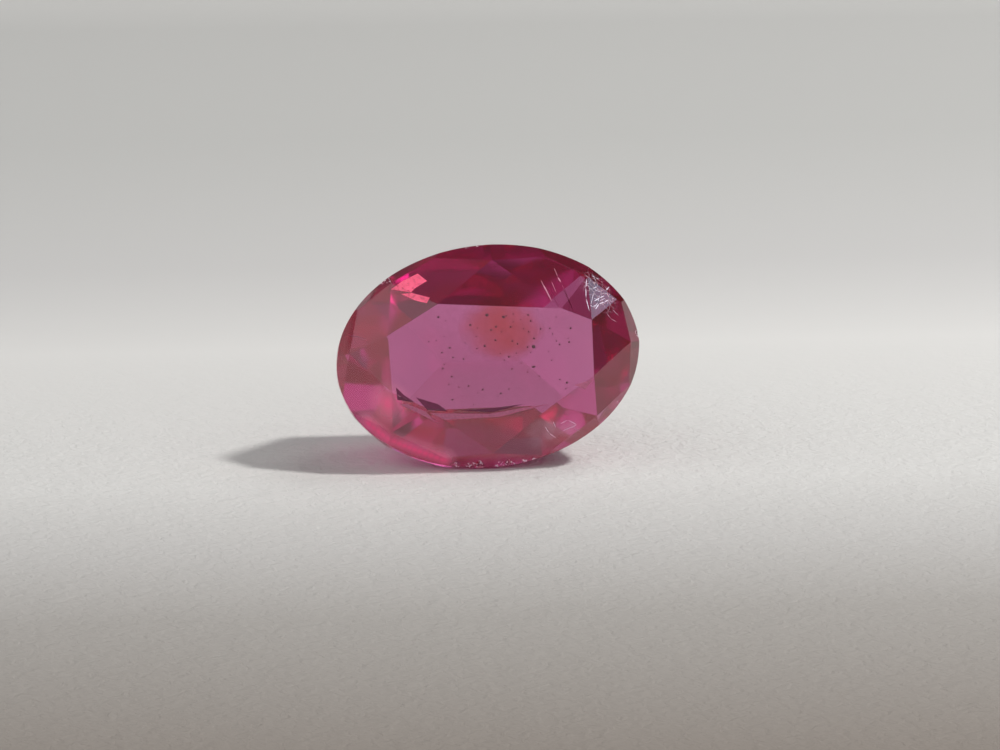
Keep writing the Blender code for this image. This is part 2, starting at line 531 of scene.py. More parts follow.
@dataclass(frozen=True)
class WarmFilmFinish:
    """A clear orange-red film that fades out to its edge.

    Attributes:
        tints: What the film lets through: the square of the share of the way to its edge, and the colour.
        rags: How far the film's outline runs in and out, as such a square.
    """

    tints: Sequence[tuple[float, Colour]] = (
        (0.0, (0.92, 0.31, 0.22, 1.0)),
        (0.4, (0.94, 0.5, 0.43, 1.0)),
        (0.7, (0.98, 0.82, 0.81, 1.0)),
        (0.95, grey(1.0)),
    )
    rags: Grain = Grain(1.5, 2.0, (0.3, -0.22), (0.7, 0.22))

    def build(self, axes: GemAxes, centre: Point3, radii: Point3) -> bpy.types.Material:
        """Builds the material.

        Args:
            axes: The stone's axes.
            centre: The middle of the film, in mm.
            radii: Its reach along the stone's three axes, in mm.

        Returns:
            A see-through material that bends no light and tints it most in the middle.
        """
        material, shader = new_material("warm_orange_film")
        tree = material.node_tree
        place = object_place(tree)
        moved = vector_maths(tree, "SUBTRACT", place, axes.world(centre)[:])
        squares = []
        for axis, radius in zip(((1, 0, 0), (0, 1, 0)), radii):
            along = axes.direction(axis) / (radius * MM)
            share = vector_maths(tree, "DOT_PRODUCT", moved, along[:], "Value")
            squares.append(maths(tree, "POWER", share, 2.0, clamp=False))
        total = maths(tree, "ADD", *squares, clamp=False)
        ragged = maths(tree, "ADD", total, self.rags.build(tree, place), clamp=False)
        tree.links.new(ramp(tree, ragged, self.tints), shader.inputs["Base Color"])
        shader.inputs["Roughness"].default_value = 0.0
        shader.inputs["IOR"].default_value = 1.0
        shader.inputs["Transmission Weight"].default_value = 1.0
        return material


@dataclass(frozen=True)
class PaperFinish:
    """Matt pale paper with a fine fibrous grain, and painted shade: darker towards the viewer and in its
    bend, lighter on its upright part.

    Attributes:
        shade_tones: Distance behind the stone, in mm, and the paper's sRGB hex colour there, which paints
            its shade.
        roughness: How matt it is.
        sheen: How little it mirrors.
        fibres: Fibres of some tenths of a millimetre.
        fibre_bend: How much the fibres are bent.
        lumps: Softer lumps of about a millimetre.
        grain_start: Distance behind the stone, in mm, to which the grain is felt, and its strength.
        grain_end: Where the sheet has become smooth.
        grain_height: The grain's height, in mm.
    """

    shade_tones: Sequence[tuple[float, str]] = (
        (-30.0, "938b84"),
        (-17.0, "aeaaa6"),
        (-10.0, "c8c6c4"),
        (-3.0, "dcdbd9"),
        (14.0, "dcdbd9"),
        (19.5, "c6c5c4"),
        (24.0, "bfbfbd"),
        (26.5, "c1c1bf"),
        (28.8, "e4e3e1"),
    )
    roughness: float = 0.95
    sheen: float = 0.2
    fibres: Grain = Grain(3.5, 5.0)
    fibre_bend: float = 0.8
    lumps: Grain = Grain(0.9, 2.0)
    grain_start: Level = (2.0, 0.5)
    grain_end: Level = (14.0, 0.0)
    grain_height: float = 0.12

    def build(self) -> bpy.types.Material:
        """Builds the material.

        Returns:
            A matt material that gives the eye a soft, fibrous sheet.
        """
        material, shader = new_material("matt_paper")
        tree = material.node_tree
        place = object_place(tree)
        depth = add_node(tree, "ShaderNodeSeparateXYZ", {0: place}).outputs["Y"]
        # Painted shade: the paper darkens towards the viewer and in its bend, and is lighter on its upright
        # part.
        first, last = self.shade_tones[0][0], self.shade_tones[-1][0]
        share = map_range(tree, depth, (first * MM, 0.0), (last * MM, 1.0))
        stops = [((distance - first) / (last - first), to_linear(painted_shade)) for distance, painted_shade in self.shade_tones]
        tree.links.new(ramp(tree, share, stops), shader.inputs["Base Color"])
        shader.inputs["Roughness"].default_value = self.roughness
        shader.inputs["Specular IOR Level"].default_value = self.sheen
        fibres = self.fibres.raw(tree, place, Distortion=self.fibre_bend)
        height = maths(tree, "ADD", fibres, self.lumps.raw(tree, place), clamp=False)
        near, near_strength = self.grain_start
        far, far_strength = self.grain_end
        strength = map_range(tree, depth, (near * MM, near_strength), (far * MM, far_strength))
        relief = {"Height": height, "Strength": strength, "Distance": self.grain_height * MM}
        bump = add_node(tree, "ShaderNodeBump", relief)
        tree.links.new(bump.outputs[0], shader.inputs["Normal"])
        # The raised end of the sheet doesn't hide the stone when it is looked at from behind.
        reverse = add_node(tree, "ShaderNodeNewGeometry").outputs["Backfacing"]
        seen = add_node(tree, "ShaderNodeLightPath").outputs["Is Camera Ray"]
        hidden = maths(tree, "MULTIPLY", reverse, seen)
        gone = add_node(tree, "ShaderNodeBsdfTransparent").outputs[0]
        sheet = add_node(tree, "ShaderNodeMixShader", {0: hidden, 1: shader.outputs[0], 2: gone})
        tree.links.new(sheet.outputs[0], tree.nodes["Material Output"].inputs["Surface"])
        return material


def linked(name: str, mesh: bmesh.types.BMesh) -> bpy.types.Object:
    """Turns a bmesh into an object in the scene and frees it.

    Args:
        name: The object's name.
        mesh: Its shape, in the row frame's metres.

    Returns:
        The object, at the origin.
    """
    data = bpy.data.meshes.new(name)
    mesh.to_mesh(data)
    mesh.free()
    obj = bpy.data.objects.new(name, data)
    bpy.context.scene.collection.objects.link(obj)
    return obj


def mesh_object(
    name: str, mesh: bmesh.types.BMesh, material: bpy.types.Material, smooth: bool = False
) -> bpy.types.Object:
    """Turns a bmesh into a dressed object in the scene, with its faces outward, and frees the bmesh.

    Args:
        name: The object's name.
        mesh: Its shape, in the row frame's metres.
        material: Its only material.
        smooth: Whether its faces are shaded smooth.

    Returns:
        The object, at the origin.
    """
    bmesh.ops.recalc_face_normals(mesh, faces=mesh.faces)
    for face in mesh.faces:
        face.smooth = smooth
    obj = linked(name, mesh)
    obj.data.materials.append(material)
    return obj


def make_plain(obj: bpy.types.Object) -> None:
    """Puts what an object's modifiers make into its mesh, and removes them."""
    plain = bpy.data.meshes.new_from_object(obj.evaluated_get(bpy.context.evaluated_depsgraph_get()))
    obj.modifiers.clear()
    obj.data = plain


@dataclass
class Stone:
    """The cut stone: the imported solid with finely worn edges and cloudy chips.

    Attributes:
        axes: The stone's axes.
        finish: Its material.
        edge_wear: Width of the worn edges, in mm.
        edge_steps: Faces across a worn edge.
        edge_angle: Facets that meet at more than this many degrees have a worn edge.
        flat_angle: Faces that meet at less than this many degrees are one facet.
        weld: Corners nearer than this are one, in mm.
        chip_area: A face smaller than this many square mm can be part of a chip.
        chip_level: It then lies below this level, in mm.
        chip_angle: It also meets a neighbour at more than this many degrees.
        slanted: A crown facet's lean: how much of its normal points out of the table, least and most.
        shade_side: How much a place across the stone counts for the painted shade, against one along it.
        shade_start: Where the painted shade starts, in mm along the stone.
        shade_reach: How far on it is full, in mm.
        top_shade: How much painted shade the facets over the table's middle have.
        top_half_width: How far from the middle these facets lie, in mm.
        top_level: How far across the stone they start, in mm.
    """

    axes: GemAxes
    finish: RubyFinish = field(default_factory=RubyFinish)
    edge_wear: float = 0.012
    edge_steps: int = 2
    edge_angle: float = 4.0
    flat_angle: float = 0.3
    weld: float = 0.001
    chip_area: float = 0.06
    chip_level: float = 0.6
    chip_angle: float = 10.0
    slanted: tuple[float, float] = (0.3, 0.98)
    shade_side: float = 0.6
    shade_start: float = 2.3
    shade_reach: float = 0.9
    top_shade: float = 0.35
    top_half_width: float = 0.8
    top_level: float = 1.5

    def merged(self) -> bmesh.types.BMesh:
        """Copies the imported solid's mesh.

        Returns:
            The mesh, as whole facets.
        """
        mesh = bmesh.new()
        mesh.from_mesh(frame["nodes"]["ruby"].data)
        bmesh.ops.remove_doubles(mesh, verts=mesh.verts, dist=self.weld * MM)
        angle = math.radians(self.flat_angle)
        bmesh.ops.dissolve_limit(mesh, angle_limit=angle, verts=mesh.verts, edges=mesh.edges)
        return mesh

    def painted_shade_share(self, centre: Vector) -> float:
        """Says how much painted shade, a deeper red, a crown facet has.

        Args:
            centre: The middle of a crown facet, in the stone's axes.

        Returns:
            A share from 0 to 1.
        """
        over_table = centre.y > self.top_level and abs(centre.x) < self.top_half_width
        along = centre.x + self.shade_side * centre.y
        least = self.top_shade if over_table else 0.0
        return min(1.0, max(least, (along - self.shade_start) / self.shade_reach))

    def is_chip(self, face: bmesh.types.BMFace, level: float) -> bool:
        """Tells the small faces of a chip's hollow from the facets.

        Args:
            face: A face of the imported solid.
            level: How far its middle lies above the girdle's, in mm.

        Returns:
            Whether it is part of a chip.
        """
        small = face.calc_area() < self.chip_area * MM * MM
        hollow = any(edge.is_manifold and not edge.is_convex for edge in face.edges)
        angles = [edge.calc_face_angle(0.0) for edge in face.edges if len(edge.link_faces) == 2]
        sharp = max(angles, default=0.0) > math.radians(self.chip_angle)
        return small and hollow and sharp and level < self.chip_level

    def build(self) -> bpy.types.Object:
        """Builds the stone.

        Returns:
            The stone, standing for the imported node.
        """
        mesh = self.merged()
        frost = mesh.faces.layers.float.new(WearAndShade.FROST.value)
        painted_shade = mesh.faces.layers.float.new(WearAndShade.PAINTED_SHADE.value)
        inverse = self.axes.matrix.inverted()
        outward = self.axes.direction((0, 0, 1))
        least, most = self.slanted
        for face in mesh.faces:
            centre = inverse @ face.calc_center_median()
            # Slanted crown facets get painted shade, a deeper red, at one end and over the table's top.
            if least < face.normal.dot(outward) < most:
                face[painted_shade] = self.painted_shade_share(centre)
            if self.is_chip(face, centre.z):
                face[frost] = 1.0
        stone = mesh_object("worn_ruby", mesh, self.finish.build(self.axes))
        bevel = stone.modifiers.new("worn_edges", "BEVEL")
        bevel.width = self.edge_wear * MM
        bevel.segments = self.edge_steps
        bevel.limit_method = "ANGLE"
        bevel.angle_limit = math.radians(self.edge_angle)
        bevel.use_clamp_overlap = True
        make_plain(stone)
        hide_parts("ruby")
        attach(stone, "root")
        return stone


@dataclass
class Surface:
    """Finds points on the stone's facets.

    Attributes:
        axes: The stone's axes.
        tree: The facets, ready for a search.
        start_level: A level above the whole crown, in mm.
    """

    axes: GemAxes
    tree: BVHTree
    start_level: float = 4.0

    @classmethod
    def of_stone(cls, axes: GemAxes, stone: Stone) -> "Surface":
        """Makes the finder from the stone's whole facets.

        Args:
            axes: The stone's axes.
            stone: The stone.

        Returns:
            The finder.
        """
        mesh = stone.merged()
        tree = BVHTree.FromBMesh(mesh)
        mesh.free()
        return cls(axes, tree)

    def drop(self, point: Point) -> tuple[Vector, Vector]:
        """Drops a point onto the crown, along the stone's axis.

        Args:
            point: x and y in the stone's axes, in mm.

        Returns:
            The place on the facet and the facet's outward normal, in the row frame.
        """
        start = self.axes.world((*point, self.start_level))
        place, normal, _, _ = self.tree.ray_cast(start, -self.axes.direction((0, 0, 1)))
        if place is None:
            raise ValueError(f"no facet under {point}")
        return place, normal


@dataclass
class Specks:
    """Dark mineral grains under the table: larger ones placed one by one, and fine ones scattered.

    Attributes:
        axes: The stone's axes.
        grains: Place and radius of each larger grain, in mm.
        seed: Seeds the grains' uneven shapes and the scatter.
        lengths: Least and greatest stretch of a larger grain along its length.
        widths: The same across it.
        heights: The same through it.
        lumpiness: How far a grain's corners lie in or out.
        level: Level of the sheet that the fine grains are scattered from, in mm.
        sheet: The sheet's corners, in mm.
        density: Fine grains in a square metre of it.
        spread: How far they lie above or below it, in mm.
        fine_radius: Radius of the largest fine grain, in mm.
        fine_sizes: Least and greatest size of a fine grain, as a share of that.
        finish: Their material.
    """

    axes: GemAxes
    grains: Sequence[Spot] = (
        ((-0.08, 0.99, 0.55), 0.055),
        ((0.36, 0.93, 0.55), 0.042),
        ((1.12, 0.13, 0.55), 0.058),
        ((1.10, -0.40, 0.60), 0.050),
        ((-1.08, 0.15, 0.50), 0.036),
        ((-1.05, -0.61, 0.55), 0.038),
        ((0.22, -1.08, 0.60), 0.034),
        ((0.71, 0.22, 0.45), 0.030),
        ((-1.05, -1.21, 0.60), 0.034),
        ((-0.50, -1.36, 0.60), 0.030),
        ((1.32, 0.60, 0.50), 0.034),
        ((1.07, 0.81, 0.55), 0.034),
        ((0.13, 0.33, 0.45), 0.030),
        ((1.73, 0.27, 0.50), 0.022),
        ((1.51, -0.01, 0.55), 0.022),
        ((0.54, 0.67, 0.45), 0.026),
        ((-0.33, 0.66, 0.50), 0.024),
        ((-0.66, 0.27, 0.50), 0.022),
        ((-1.23, -0.29, 0.55), 0.026),
        ((1.78, -0.75, 0.60), 0.028),
    )
    seed: int = 7
    lengths: tuple[float, float] = (0.9, 1.3)
    widths: tuple[float, float] = (0.7, 1.0)
    heights: tuple[float, float] = (0.5, 0.8)
    lumpiness: tuple[float, float] = (0.82, 1.12)
    level: float = 0.55
    sheet: Sequence[Point] = ((-1.9, -1.15), (2.2, -1.15), (2.2, 0.95), (-1.5, 1.1))
    density: float = 6.5e6
    spread: float = 0.4
    fine_radius: float = 0.034
    fine_sizes: tuple[float, float] = (0.5, 1.0)
    finish: PlainFinish = PlainFinish("dark_mineral_grain", "561628", 0.6)

    def build(self) -> list[bpy.types.Object]:
        """Builds the larger grains and the fine ones.

        Returns:
            The two pieces.
        """
        material = self.finish.build()
        pieces = [self.larger(material), self.scatter(material)]
        for piece in pieces:
            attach(piece, "root")
        return pieces

    def larger(self, material: bpy.types.Material) -> bpy.types.Object:
        """Builds the larger grains as uneven lumps.

        Args:
            material: The grains' material.

        Returns:
            One mesh of all the larger grains.
        """
        chance = random.Random(self.seed)
        mesh = bmesh.new()
        for place, radius in self.grains:
            made = bmesh.ops.create_icosphere(mesh, subdivisions=2, radius=radius * MM)["verts"]
            ranges = (self.lengths, self.widths, self.heights)
            stretch = Matrix.Diagonal([chance.uniform(*limits) for limits in ranges])
            angle = chance.uniform(0, math.tau)
            turn = Matrix.Rotation(angle, 3, Vector((chance.random(), chance.random(), 1.0)))
            for vert in made:
                lump = vert.co * chance.uniform(*self.lumpiness)
                vert.co = turn @ stretch @ lump + self.axes.world(place)
        return mesh_object("mineral_grains", mesh, material, smooth=True)

    def scatter_tree(self, material: bpy.types.Material) -> tuple[bpy.types.NodeTree, dict[str, str]]:
        """Builds the geometry nodes that scatter fine grains near a sheet.

        Args:
            material: The grains' material.

        Returns:
            The tree, and the identifier of each of its named inputs.
        """
        tree = bpy.data.node_groups.new("fine_grain_scatter", "GeometryNodeTree")
        face = tree.interface
        face.new_socket("Geometry", in_out="INPUT", socket_type="NodeSocketGeometry")
        kinds = {"Density": "Float", "Seed": "Int", "Radius": "Float", "Spread": "Float"}
        inputs = {}
        for name, kind in kinds.items():
            inputs[name] = face.new_socket(name, in_out="INPUT", socket_type=f"NodeSocket{kind}").identifier
        face.new_socket("Geometry", in_out="OUTPUT", socket_type="NodeSocketGeometry")
        entry = tree.nodes.new("NodeGroupInput").outputs
        points = add_node(
            tree,
            "GeometryNodeDistributePointsOnFaces",
            {"Mesh": entry["Geometry"], "Density": entry["Density"], "Seed": entry["Seed"]},
        )
        below = maths(tree, "MULTIPLY", entry["Spread"], -1.0, clamp=False)
        shift = self.random_value(tree, below, entry["Spread"], entry["Seed"])
        offset = scaled(tree, points.outputs["Normal"], shift)
        moved = add_node(tree, "GeometryNodeSetPosition", {0: points.outputs["Points"], "Offset": offset})
        grain = add_node(tree, "GeometryNodeMeshIcoSphere", {"Radius": entry["Radius"], "Subdivisions": 1})
        size = self.random_value(tree, *self.fine_sizes)
        placed = add_node(
            tree,
            "GeometryNodeInstanceOnPoints",
            {"Points": moved.outputs[0], "Instance": grain.outputs["Mesh"], "Scale": size},
        )
        real = add_node(tree, "GeometryNodeRealizeInstances", {0: placed.outputs[0]})
        dressed = add_node(tree, "GeometryNodeSetMaterial", {0: real.outputs[0], "Material": material})
        add_node(tree, "NodeGroupOutput", {0: dressed.outputs[0]})
        return tree, inputs

    def random_value(self, tree: Tree, least: object, most: object, seed: object = 0) -> Socket:
        """Adds a node that draws a number for each grain.

        Args:
            tree: The tree to add to.
            least: The least number, or its socket.
            most: The greatest number, or its socket.
            seed: Seeds the draw.

        Returns:
            The drawn number.
        """
        node = add_node(tree, "FunctionNodeRandomValue", {"Seed": seed}, data_type="FLOAT")
        active = {socket.name: socket for socket in node.inputs if socket.enabled}
        for name, value in (("Min", least), ("Max", most)):
            if isinstance(value, Socket):
                tree.links.new(value, active[name])
            else:
                active[name].default_value = value
        return next(socket for socket in node.outputs if socket.enabled)

    def scatter(self, material: bpy.types.Material) -> bpy.types.Object:
        """Scatters fine grains with geometry nodes.

        Args:
            material: The grains' material.

        Returns:
            One plain mesh of all the fine grains.
        """
        mesh = bmesh.new()
        mesh.faces.new([mesh.verts.new(self.axes.world((*corner, self.level))) for corner in self.sheet])
        grains = linked("fine_grains", mesh)
        tree, inputs = self.scatter_tree(material)
        modifier = grains.modifiers.new("scatter", "NODES")
        modifier.node_group = tree
        modifier[inputs["Density"]] = self.density
        modifier[inputs["Seed"]] = self.seed
        modifier[inputs["Radius"]] = self.fine_radius * MM
        modifier[inputs["Spread"]] = self.spread * MM
        make_plain(grains)
        return grains


@dataclass(frozen=True)
class Sliver:
    """A thin closed crystal sliver, pointed at both ends.

    Attributes:
        width: Its half width, in mm.
        thickness: Its half thickness, in mm.
        shoulders: Where it has its full width, as shares of its length.
    """

    width: float
    thickness: float
    shoulders: tuple[float, float] = (0.25, 0.7)

    def add_to(self, mesh: bmesh.types.BMesh, start: Vector, end: Vector, side: Vector) -> None:
        """Adds the sliver to a bmesh.

        Args:
            mesh: The bmesh to add to.
            start: One tip.
            end: The other tip.
            side: The direction in which the sliver is widest.
        """
        along = (end - start).normalized()
        across = (side - along * side.dot(along)).normalized()
        upward = along.cross(across) * self.thickness * MM
        across *= self.width * MM
        tips = [mesh.verts.new(start), mesh.verts.new(end)]
        rings = []
        for share in self.shoulders:
            middle = start.lerp(end, share)
            rings.append([mesh.verts.new(middle + step) for step in (across, upward, -across, -upward)])
        for k in range(4):
            after = (k + 1) % 4
            mesh.faces.new((tips[0], rings[0][k], rings[0][after]))
            mesh.faces.new((rings[0][k], rings[1][k], rings[1][after], rings[0][after]))
            mesh.faces.new((tips[1], rings[1][after], rings[1][k]))


@dataclass
class Needles:
    """Pale parallel needles that reach the crown's surface and catch the light.

    Attributes:
        lines: Each needle's two ends over the crown, and its half width, in mm.
        height: How far their middle lies over the facet, in mm.
        flatness: Their thickness as a share of their width.
        finish: Their material.
    """

    lines: Sequence[tuple[Point, Point, float]] = (
        ((1.43, 1.78), (1.62, 1.27), 0.016),
        ((1.93, 1.75), (2.19, 0.93), 0.014),
        ((1.84, 1.97), (1.91, 1.82), 0.016),
        ((1.58, 1.66), (1.83, 1.02), 0.007),
        ((1.38, 1.90), (1.48, 1.59), 0.007),
        ((1.76, 2.25), (1.84, 1.98), 0.006),
        ((1.66, 1.86), (1.76, 1.52), 0.006),
        ((-3.70, 0.62), (-3.20, 0.38), 0.009),
    )
    height: float = 0.002
    flatness: float = 0.6
    finish: PlainFinish = PlainFinish("pale_needle", "d49aaf", 0.35)

    def build(self, surface: Surface) -> bpy.types.Object:
        """Builds the needles as one piece.

        Args:
            surface: Finds the facets.

        Returns:
            The piece.
        """
        mesh = bmesh.new()
        for first, last, width in self.lines:
            ends = [surface.drop(point) for point in (first, last)]
            start, end = (place + normal * self.height * MM for place, normal in ends)
            side = (end - start).cross(ends[0][1])
            Sliver(width, width * self.flatness).add_to(mesh, start, end, side)
        needles = mesh_object("pale_needles", mesh, self.finish.build())
        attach(needles, "root")
        return needles


@dataclass
class Scratches:
    """Crossing scratches in the worn upper-right kite, and a few finer ones in the scuffed lower-right one.

    Attributes:
        strokes: Points of each scratch over the crown, and its half width, in mm.
        height: How far a scratch's burr stands over the facet, in mm.
        finish: Their material.
    """

    strokes: Sequence[tuple[Sequence[Point], float]] = (
        (((2.61, 1.93), (2.56, 1.66), (2.54, 1.37), (2.60, 1.00)), 0.010),
        (((2.77, 1.07), (2.89, 1.23), (3.05, 1.29), (3.16, 1.35), (3.28, 1.56)), 0.013),
        (((2.76, 1.30), (2.93, 1.40), (3.07, 1.47), (3.14, 1.63), (3.20, 1.72)), 0.011),
        (((2.76, 1.65), (2.88, 1.71), (3.08, 1.75)), 0.009),
        (((2.77, 2.02), (2.88, 1.98), (2.98, 1.93)), 0.010),
        (((3.24, 1.75), (3.20, 1.68), (3.12, 1.59)), 0.009),
        (((3.30, 1.58), (3.18, 1.40), (3.06, 1.01)), 0.009),
        (((2.83, 1.20), (2.70, 1.14), (2.64, 1.18)), 0.009),
        (((2.79, 2.09), (2.88, 1.84), (2.77, 1.55), (2.65, 1.18)), 0.007),
        (((2.75, 1.39), (2.91, 1.31), (3.08, 1.40)), 0.006),
        (((2.62, 1.66), (2.78, 1.63), (2.97, 1.56)), 0.007),
        (((2.93, 1.48), (2.86, 1.27), (2.73, 1.10)), 0.006),
        (((3.07, 1.01), (3.19, 0.83), (3.36, 0.75)), 0.004),
        (((3.25, 1.10), (3.43, 0.92)), 0.004),
        (((1.76, -1.90), (1.97, -1.80), (2.22, -1.92), (2.04, -2.00)), 0.006),
        (((1.83, -2.07), (2.09, -1.97), (2.34, -2.08)), 0.006),
        (((1.36, -1.95), (1.48, -2.12), (1.68, -2.24)), 0.005),
        (((1.57, -1.83), (1.66, -2.00)), 0.005),
    )
    height: float = 0.003
    finish: PlainFinish = PlainFinish("scratch_burr", "e6dcf0", 0.4)

    def build(self, surface: Surface) -> bpy.types.Object:
        """Builds the scratches as one piece.

        Args:
            surface: Finds the facets.

        Returns:
            The piece.
        """
        mesh = bmesh.new()
        for points, width in self.strokes:
            spots = [surface.drop(point) for point in points]
            burr = Sliver(width, self.height)
            for (place, normal), (onward, _) in zip(spots, spots[1:]):
                burr.add_to(mesh, place, onward, (onward - place).cross(normal))
        scratches = mesh_object("scratches", mesh, self.finish.build())
        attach(scratches, "root")
        return scratches


@dataclass
class Flakes:
    """Thin flat flakes at the stone's surface.

    Attributes:
        name: The piece's name.
        outlines: Each flake's corners over the crown, in mm.
        finish: Their finish.
        lift: How far they stand over the facet, in mm.
        thickness: How thick they are, in mm.
        cuts: Cuts across each triangle, so that a flake follows the facets.
    """

    name: str
    outlines: Sequence[Sequence[Point]]
    finish: PlainFinish
    lift: float = 0.002
    thickness: float = 0.008
    cuts: int = 4

    def build(self, surface: Surface) -> bpy.types.Object:
        """Builds the flakes as one piece that follows the facets.

        Args:
            surface: Finds the facets.

        Returns:
            The piece.
        """
        mesh = bmesh.new()
        for outline in self.outlines:
            mesh.faces.new([mesh.verts.new((x, y, 0.0)) for x, y in outline])
        bmesh.ops.triangulate(mesh, faces=mesh.faces)
        bmesh.ops.subdivide_edges(mesh, edges=mesh.edges, cuts=self.cuts, use_grid_fill=True)
        bmesh.ops.triangulate(mesh, faces=mesh.faces)
        for vert in mesh.verts:
            place, normal = surface.drop((vert.co.x, vert.co.y))
            vert.co = place + normal * self.lift * MM
        bmesh.ops.recalc_face_normals(mesh, faces=mesh.faces)
        bmesh.ops.solidify(mesh, geom=mesh.faces[:], thickness=self.thickness * MM)
        flakes = mesh_object(self.name, mesh, self.finish.build())
        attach(flakes, "root")
        return flakes


# Painted reflection: two bright pink red flakes at the upper left stand in for light thrown back inside the
# stone.
PAINTED_PINK_REFLECTIONS = Flakes(
    "painted_pink_reflections",
    (
        ((-2.54, 1.74), (-2.22, 1.97), (-1.82, 2.16), (-1.6, 1.94), (-1.92, 1.75), (-2.04, 1.63)),
        ((-2.3, 1.6), (-2.01, 1.61), (-1.57, 1.46), (-1.66, 1.31), (-1.95, 1.4)),
    ),
    PlainFinish("painted_pink_reflection", "fb688a", 0.3, 0.3, 9.0),
)
# Painted shade: dark flakes along the lower edge of the table stand in for the back's edges seen through the
# stone.
PAINTED_DARK_WEDGES = Flakes(
    "painted_dark_wedges",
    (
        ((-2.54, -0.89), (-2.51, -1.21), (-2.06, -1.29), (-2.34, -1.09)),
        ((-2.03, -1.16), (-1.74, -1.5), (-1.21, -1.54), (-1.46, -1.35)),
        ((-0.89, -1.53), (-0.03, -1.59), (0.82, -1.39), (0.16, -1.47)),
    ),
    PlainFinish("painted_dark_wedge", "641a40", 0.3),
)
# Painted reflection: pale slivers along the lower edge of the table, and one at the right.
PAINTED_PALE_WEDGES = Flakes(
    "painted_pale_wedges",
    (
        ((-2.48, -1.3), (-1.86, -1.62), (-1.47, -1.81), (-1.8, -1.52), (-2.25, -1.32)),
        (
            (-1.67, -1.57),
            (-1.27, -1.75),
            (0.16, -1.7),
            (1.42, -1.41),
            (0.68, -1.5),
            (-0.1, -1.62),
            (-0.89, -1.6),
        ),
        ((2.13, -0.93), (2.64, -0.78), (2.41, -1.04)),
    ),
    PlainFinish("painted_pale_wedge", "b35f80", 0.35),
)


@dataclass
class WarmFilm:
    """A warm orange-red film: thin, lens-shaped and inside the stone.

    Attributes:
        axes: The stone's axes.
        centre: Its middle, in mm.
        radii: Its reach along the stone's three axes, in mm.
        finish: Its material.
    """

    axes: GemAxes
    centre: Point3 = (0.36, 0.72, -0.44)
    radii: Point3 = (1.15, 0.95, 0.01)
    finish: WarmFilmFinish = field(default_factory=WarmFilmFinish)

    def build(self) -> bpy.types.Object:
        """Builds the stain.

        Returns:
            The piece.
        """
        mesh = bmesh.new()
        bmesh.ops.create_uvsphere(mesh, u_segments=48, v_segments=16, radius=1.0)
        place = self.axes.matrix @ Matrix.Translation(self.centre) @ Matrix.Diagonal((*self.radii, 1.0))
        bmesh.ops.transform(mesh, matrix=place, verts=mesh.verts)
        film = self.finish.build(self.axes, self.centre, self.radii)
        film_piece = mesh_object("warm_film", mesh, film, smooth=True)
        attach(film_piece, "root")
        return film_piece


@dataclass(frozen=True)
class Panel:
    """A square area light.

    Attributes:
        name: Its name.
        azimuth: Direction from the stone in the floor plane, from +X towards +Y, in degrees.
        elevation: Degrees above the floor.
        distance: Metres from the stone.
        half_angle: Half the angle it fills, seen from the stone, in degrees.
        radiance: How bright its face is; the lit paper is about 0.6.
        tint: Its colour.
        aim_height: Height of the stone's middle, in mm.
    """

    name: str
    azimuth: float
    elevation: float
    distance: float
    half_angle: float
    radiance: float
    tint: Point3 = (1.0, 1.0, 1.0)
    aim_height: float = 2.5

    def build(self) -> bpy.types.Object:
        """Adds the light.

        Returns:
            The light's object.
        """
        size = 2 * self.distance * math.tan(math.radians(self.half_angle))
        light = bpy.data.lights.new(self.name, "AREA")
        light.shape = "SQUARE"
        light.size = size
        light.energy = self.radiance * math.pi * size * size
        light.color = self.tint
        obj = bpy.data.objects.new(self.name, light)
        bpy.context.scene.collection.objects.link(obj)
        azimuth, elevation = math.radians(self.azimuth), math.radians(self.elevation)
        level = math.cos(elevation)
        towards = Vector((math.cos(azimuth) * level, math.sin(azimuth) * level, math.sin(elevation)))
        obj.location = towards * self.distance + Vector((0, 0, self.aim_height * MM))
        obj.rotation_euler = towards.to_track_quat("Z", "Y").to_euler()
        return obj


